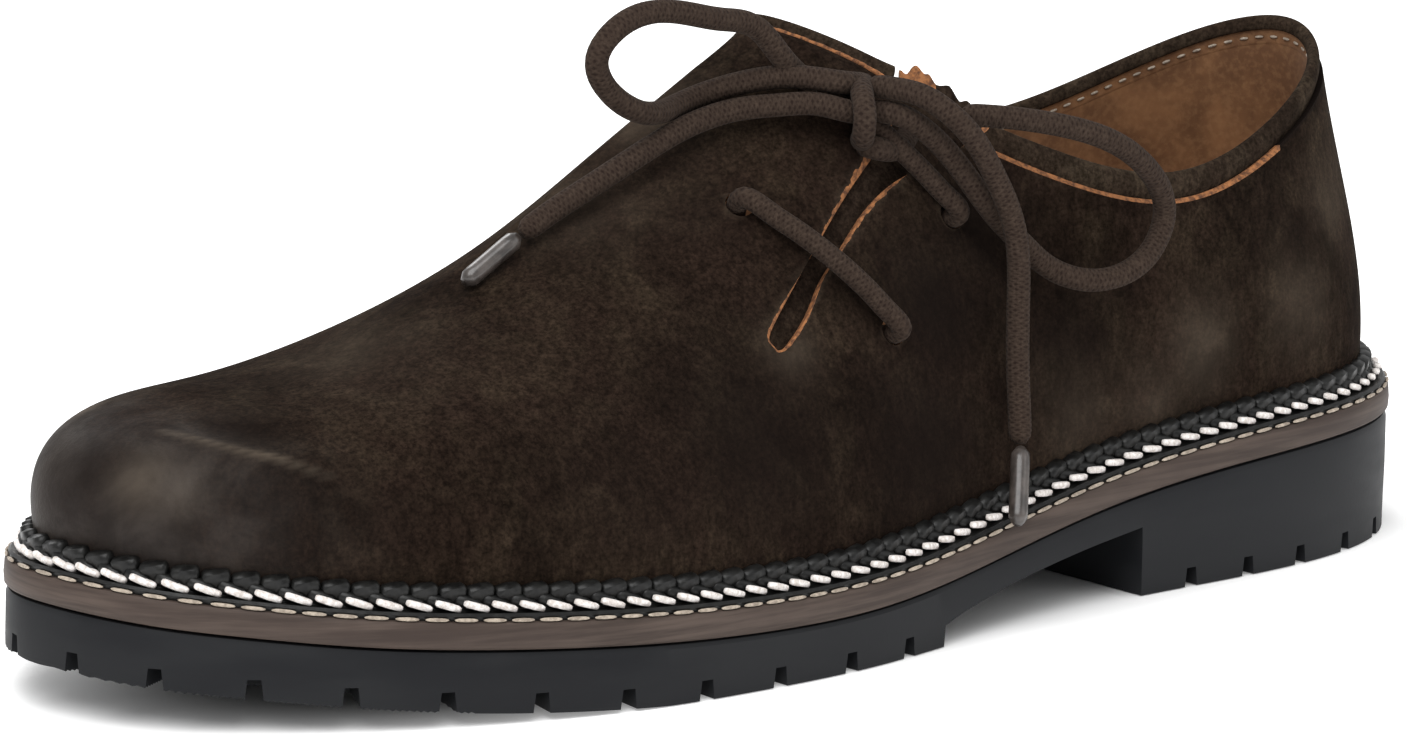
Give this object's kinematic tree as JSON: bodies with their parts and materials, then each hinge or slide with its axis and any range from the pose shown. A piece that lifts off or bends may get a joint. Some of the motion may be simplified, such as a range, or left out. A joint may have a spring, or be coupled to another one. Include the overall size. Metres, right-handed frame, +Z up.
{
  "type": "haferl shoe",
  "caption": "Low suede folk shoe with a side-laced slit, a plaited stitched welt, a leather midsole and a lugged rubber sole with a block heel, for the left foot",
  "frame": {"origin": "On the floor, under the middle of the sole's length and width, measured without the free lace", "axes": "+X points to the heel and the toe points to -X; the outer side of the foot is at -Y and the inner side at +Y; +Z is up"},
  "size_m": [0.303, 0.1058, 0.1131],
  "materials": {
    "rubber": "matt moulded rubber",
    "midsole_leather": "waxed cut edge",
    "welt_braid": "black plaited welt with off-white stitches",
    "lining_leather": "smooth tan lining leather",
    "suede": "dark brown suede, burnished at the toe",
    "tongue_suede": "dark brown suede",
    "lace_cord": "round braided cord",
    "aglet_plastic": "clear film over the cord's end"
  },
  "bodies": {
    "root": {"outsole": "rubber", "midsole": "midsole_leather", "welt": "welt_braid", "insole": "lining_leather", "upper": "suede", "tongue": "tongue_suede", "lace_bar_low": "lace_cord", "lace_bar_high": "lace_cord", "lace_knot": "lace_cord", "lace_loop_front": "lace_cord", "lace_loop_rear": "lace_cord", "lace_end_front": "lace_cord", "lace_end_rear": "lace_cord", "aglet_front": "aglet_plastic", "aglet_rear": "aglet_plastic"}
  },
  "joints": []
}
